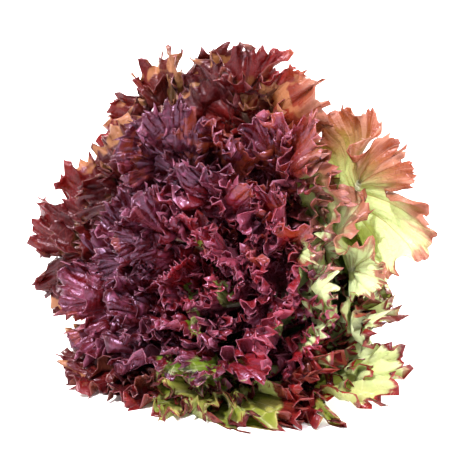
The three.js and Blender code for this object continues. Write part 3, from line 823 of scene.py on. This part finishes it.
# Colours of the upper and lower faces, of the light that shines through, of painted shade, backlit glow,
# violet sheen and rim highlight, and how far the red reaches: from the margin in millimetres, and along the
# leaf as a share of its length
OUTER_LOOK = dict(
    red_uneven=20.0, red_least=2.4, red_most=124.0, red_along=(0.15, 0.45), red_below=0.94,
    red_deep=display(84, 9, 10), red_bright=display(140, 30, 26),
    red_warm=display(140, 62, 36), warmth=0.75,
    red_dark_and_shaded=display(42, 7, 9), red_deepest_shade=display(46, 7, 11), darkness_and_shade=0.8,
    red_violet_and_sheen=display(132, 32, 46), violet_sheen_share=0.25, paler_below=0.25,
    red_backlit_patch=display(172, 122, 84), backlit_patchiness=0.9, green_patches=0.15,
    red_blush=display(186, 138, 118), blush_brown=display(140, 62, 36), streaks=(3.4, 1.2, 0.0),
    red_vein=display(150, 64, 54), vein_blush=display(176, 96, 84), green_vein=display(222, 226, 176),
    green_deep=display(108, 124, 28), green_pale=display(166, 158, 84),
    green_below=display(172, 188, 120), green_lightest_lit=display(228, 244, 192),
    rib=display(236, 240, 212), rim_and_highlight=display(204, 136, 146), rim_green=display(168, 84, 66), rim_share=0.35,
    through_red=display(170, 40, 26), through_shaded=display(112, 24, 16), through_warm=display(226, 190, 140),
    through_blush=display(210, 164, 132), through_brown=display(172, 90, 48),
    through_green=display(208, 216, 138), thin=0.38,
    bump=0.85, gloss=0.22, shine=0.55, sheen=display(240, 208, 222), bloom=display(190, 160, 196),
)
HEART_LOOK = dict(
    OUTER_LOOK,
    red_uneven=24.0, red_most=80.0, red_along=(0.2, 0.55), red_below=0.97,
    red_deep=display(96, 12, 16), red_bright=display(158, 30, 36),
    red_warm=display(124, 44, 20), warmth=0.85, red_dark_and_shaded=display(72, 12, 14), darkness_and_shade=0.6,
    red_violet_and_sheen=display(176, 84, 128), violet_sheen_share=0.5, paler_below=0.35,
    red_backlit_patch=display(166, 80, 40), backlit_patchiness=0.5, green_patches=0.0,
    red_vein=display(178, 92, 106), green_deep=display(62, 88, 8), green_pale=display(112, 140, 30),
    rim_and_highlight=display(226, 166, 184), rim_share=0.28,
    through_red=display(168, 36, 44), through_warm=display(222, 110, 70), thin=0.46,
    shine=1.0, sheen=display(248, 206, 255),
)


def stem_material():
    """Pale stem, with the browned ring and the fibres of its cut face."""
    s = Shader("stem_flesh")
    across, up, cut = s.parts(s.attribute("stem_place"))
    place = s.node("TexCoord", {}).outputs["Object"]
    fibres = s.noise(place, 0.0012, 4.0, 0.6)
    patches = s.noise(place, 0.009)
    side = s.mix(s.smooth(up, 0.0, 30.0), display(222, 226, 196), display(180, 196, 120))
    side = s.mix(s.math("MULTIPLY", s.smooth(patches, 0.5, 0.7), 0.4), side, display(196, 150, 128))
    face = s.mix(s.smooth(across, 0.3, 0.7), display(236, 236, 214), display(214, 222, 180))
    within_ring = s.math("SUBTRACT", 1.0, s.smooth(across, 0.8, 0.94))
    ring = s.math("MULTIPLY", s.smooth(across, 0.62, 0.74), within_ring)
    face = s.mix(s.math("MULTIPLY", ring, 0.7), face, display(170, 120, 84))
    face = s.mix(s.math("MULTIPLY", s.smooth(fibres, 0.5, 0.7), 0.35), face, display(186, 150, 112))
    color = s.mix(cut, side, face)
    bump = s.node("Bump", {"Height": fibres, "Strength": 0.35, "Distance": 0.0006}).outputs[0]
    surface = {"Base Color": color, "Roughness": 0.42, "Normal": bump}
    surface.update({"Subsurface Weight": 0.15, "Subsurface Radius": (0.004, 0.004, 0.002)})
    return s.output(s.node("BsdfPrincipled", surface).outputs[0])


STEM_COLUMNS = 120


def stem_object():
    """The turned stem of the solids, finer, with flutes and an uneven cut face."""
    face = [(STEM_FOOT_RADIUS * i / 10, -STEM_BELOW_LEAVES, 1.0) for i in range(1, 10)]
    corner = [
        (OUTER_ROOT_EXTRA_RADIUS - 1, -STEM_BELOW_LEAVES, 0.8),
        (OUTER_ROOT_EXTRA_RADIUS - 0.2, 0.5 - STEM_BELOW_LEAVES, 0.2),
    ]
    side = []
    for shell in np.linspace(1, 0, 61) ** 2:
        radius = HEART_ROOT_RADIUS + OUTER_ROOT_EXTRA_RADIUS * math.sqrt(shell) - STEM_CLEARANCE
        side.append((radius, HEART_ROOT_HEIGHT - ROOT_HEIGHT_RANGE * shell**0.9, 0.0))
    lower = [(OUTER_ROOT_EXTRA_RADIUS, 1.5 - STEM_BELOW_LEAVES, 0.0)]
    foot = np.array(lower[0]), np.array(side[0])
    lower += [tuple(foot[0] + (foot[1] - foot[0]) * i / 8) for i in range(1, 8)]
    rows = np.array(face + corner + lower + side)
    turn = np.linspace(0, 2 * math.pi, STEM_COLUMNS, endpoint=False)
    flutes = 1 - 0.02 * (1 + np.cos(9 * turn[None] + rows[:, 1:2] / 4)) * (1 - rows[:, 2:3])
    radius = rows[:, :1] * flutes
    dish = 0.35 * rows[:, 2:3] * (1 + value_noise(radius / 3, turn[None] * 2 + 0 * radius, 3))
    height = rows[:, 1:2] + dish
    ends = np.array([(0, -STEM_BELOW_LEAVES + 0.3, 1), (0, HEART_ROOT_HEIGHT + 1, 0)])
    radius = np.concatenate([radius.ravel(), ends[:, 0]])
    height = np.concatenate([height.ravel(), ends[:, 1]])
    azimuth = np.concatenate([np.tile(turn, len(rows)), (0, 0)])
    points = settle(around_axis(radius, height, azimuth), 1)
    points[:, 2] = np.maximum(points[:, 2], FLOOR_GAP)
    index = np.arange(len(rows) * STEM_COLUMNS).reshape(len(rows), STEM_COLUMNS)
    after = np.roll(index, -1, axis=1)
    quads = np.stack([index[:-1], after[:-1], after[1:], index[1:]], -1).reshape(-1, 4)
    low, high = index.size, index.size + 1
    even = np.arange(0, STEM_COLUMNS, 2)
    beyond = (even + 2) % STEM_COLUMNS
    first, last = index[0], index[-1]
    low_cap = np.stack([np.full_like(even, low), first[beyond], first[even + 1], first[even]], -1)
    high_cap = np.stack([np.full_like(even, high), last[even], last[even + 1], last[beyond]], -1)
    made = mesh_object("stem_turned", points, np.concatenate([quads, low_cap, high_cap]), stem_material())
    cut = np.concatenate([np.repeat(rows[:, 2], STEM_COLUMNS), ends[:, 2]])
    write_vectors(made.data, "stem_place", np.stack([radius / OUTER_ROOT_EXTRA_RADIUS, height, cut], -1))
    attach(made, "root")
    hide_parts("stem")


# Camera at the photograph's angle, a pale floor and soft light
CAMERA_LENS = 82
CAMERA_LIFT = math.radians(13)
CAMERA_DISTANCE = 0.79
CAMERA_AIM = Vector((0.018, 0.005, 0.104))


def add_camera():
    data = bpy.data.cameras.new("camera")
    data.lens = CAMERA_LENS
    camera = bpy.data.objects.new("camera", data)
    away = Vector((0, -math.cos(CAMERA_LIFT), math.sin(CAMERA_LIFT)))
    camera.location = CAMERA_AIM + away * CAMERA_DISTANCE
    camera.rotation_mode = "QUATERNION"
    camera.rotation_quaternion = away.to_track_quat("Z", "Y")
    bpy.context.scene.collection.objects.link(camera)
    bpy.context.scene.camera = camera


# Where each sun stands, its strength, its angle across in degrees, and its colour
SUNS = dict(
    key=((-0.4, -0.5, 1.0), 5.6, 6, (1, 0.98, 0.95)),
    top=((0.1, -0.1, 1.0), 3.4, 40, (0.94, 0.86, 0.96)),
    back=((0.75, 0.7, 0.6), 3.2, 14, (1, 0.97, 0.9)),
    side=((-0.8, 0.75, 0.4), 1.6, 10, (1, 0.96, 0.88)),
    right=((1.0, -0.45, 0.5), 2.4, 12, (1, 0.98, 0.94)),
)
ROOM_COLOR = (1, 0.88, 0.88, 1)
ROOM_STRENGTH = 0.95
FLOOR_HALF_WIDTH = 60 / MM
FLOOR_COLOR = (0.93, 0.93, 0.93, 1)


def add_sun(name, away, strength, angle, color):
    data = bpy.data.lights.new(name, "SUN")
    data.energy = strength
    data.angle = math.radians(angle)
    data.color = color
    light = bpy.data.objects.new(name, data)
    light.rotation_mode = "QUATERNION"
    light.rotation_quaternion = Vector(away).to_track_quat("Z", "Y")
    bpy.context.scene.collection.objects.link(light)


def add_surroundings():
    world = bpy.data.worlds.new("white_room")
    bpy.context.scene.world = world
    world.use_nodes = True
    background = world.node_tree.nodes["Background"]
    background.inputs["Color"].default_value = ROOM_COLOR
    background.inputs["Strength"].default_value = ROOM_STRENGTH
    for name, sun in SUNS.items():
        add_sun(name, *sun)
    corners = np.array([(-1, -1, 0), (1, -1, 0), (1, 1, 0), (-1, 1, 0)]) * FLOOR_HALF_WIDTH
    s = Shader("pale_floor")
    pale_and_lit = s.output(s.node("BsdfPrincipled", {"Base Color": FLOOR_COLOR, "Roughness": 0.8}).outputs[0])
    floor = mesh_object("floor", corners, np.array([(0, 1, 2, 3)]), pale_and_lit)
    floor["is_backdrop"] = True


def add_leaf(k, mesh, material):
    """A leaf's blade and its frills, which the calm outer leaves of the pale side don't have."""
    leaf_object(k, "blade", relief(leaf_form(k, mesh), k), material)
    for n, frill in enumerate(FRILLS):
        if k in frill["leaves"] and calm(leaf_traits(k)) < MOST_CALM_WITH_FRILLS:
            leaf_object(k, f"frill_{n + 1}", relief(leaf_form(k, FRILL_MESH, frill), k), material)


outer_stuff = leaf_material("outer_leaf_blade", OUTER_LOOK)
heart_stuff = leaf_material("heart_leaf_blade", HEART_LOOK)
for mesh in MESHES:
    for number in mesh["leaves"]:
        add_leaf(number, mesh, outer_stuff if number < OUTER_LEAVES else heart_stuff)
stem_object()
add_surroundings()
add_camera()
bpy.context.scene.view_settings.view_transform = "Standard"

{"cad_box": CAD_BOX, "visual_box": [list(corner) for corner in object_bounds()]}
